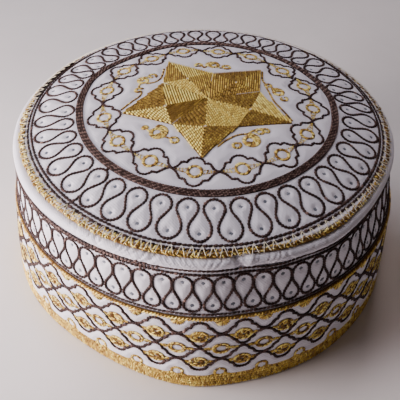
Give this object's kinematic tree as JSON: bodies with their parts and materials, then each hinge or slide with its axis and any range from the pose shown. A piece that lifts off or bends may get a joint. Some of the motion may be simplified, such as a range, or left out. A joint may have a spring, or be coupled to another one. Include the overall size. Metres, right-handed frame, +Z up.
{
  "type": "prayer cap",
  "caption": "Round embroidered prayer cap: domed crown with a gold star, gathered roll, looped band, lattice band and gold hem.",
  "frame": {"origin": "on the floor under the middle of the cap, level with the foot of the hem", "axes": "+Z up through the crown, +X to the right, -Y towards the front, where the roll is gathered"},
  "size_m": [0.1802, 0.1777, 0.0857],
  "materials": {
    "white_cloth": "matt quilted white cotton satin",
    "brown_thread": "dark brown embroidery thread with a soft sheen",
    "gold_thread": "metallic gold embroidery thread in satin stitch"
  },
  "bodies": {
    "root": {"hem_binding": "gold_thread", "lower_band": "white_cloth", "band_cord": "gold_thread", "upper_band": "white_cloth", "crown_panel": "white_cloth", "crown_edging": "gold_thread", "crown_ring": "brown_thread", "crown_star": "gold_thread"}
  },
  "joints": []
}
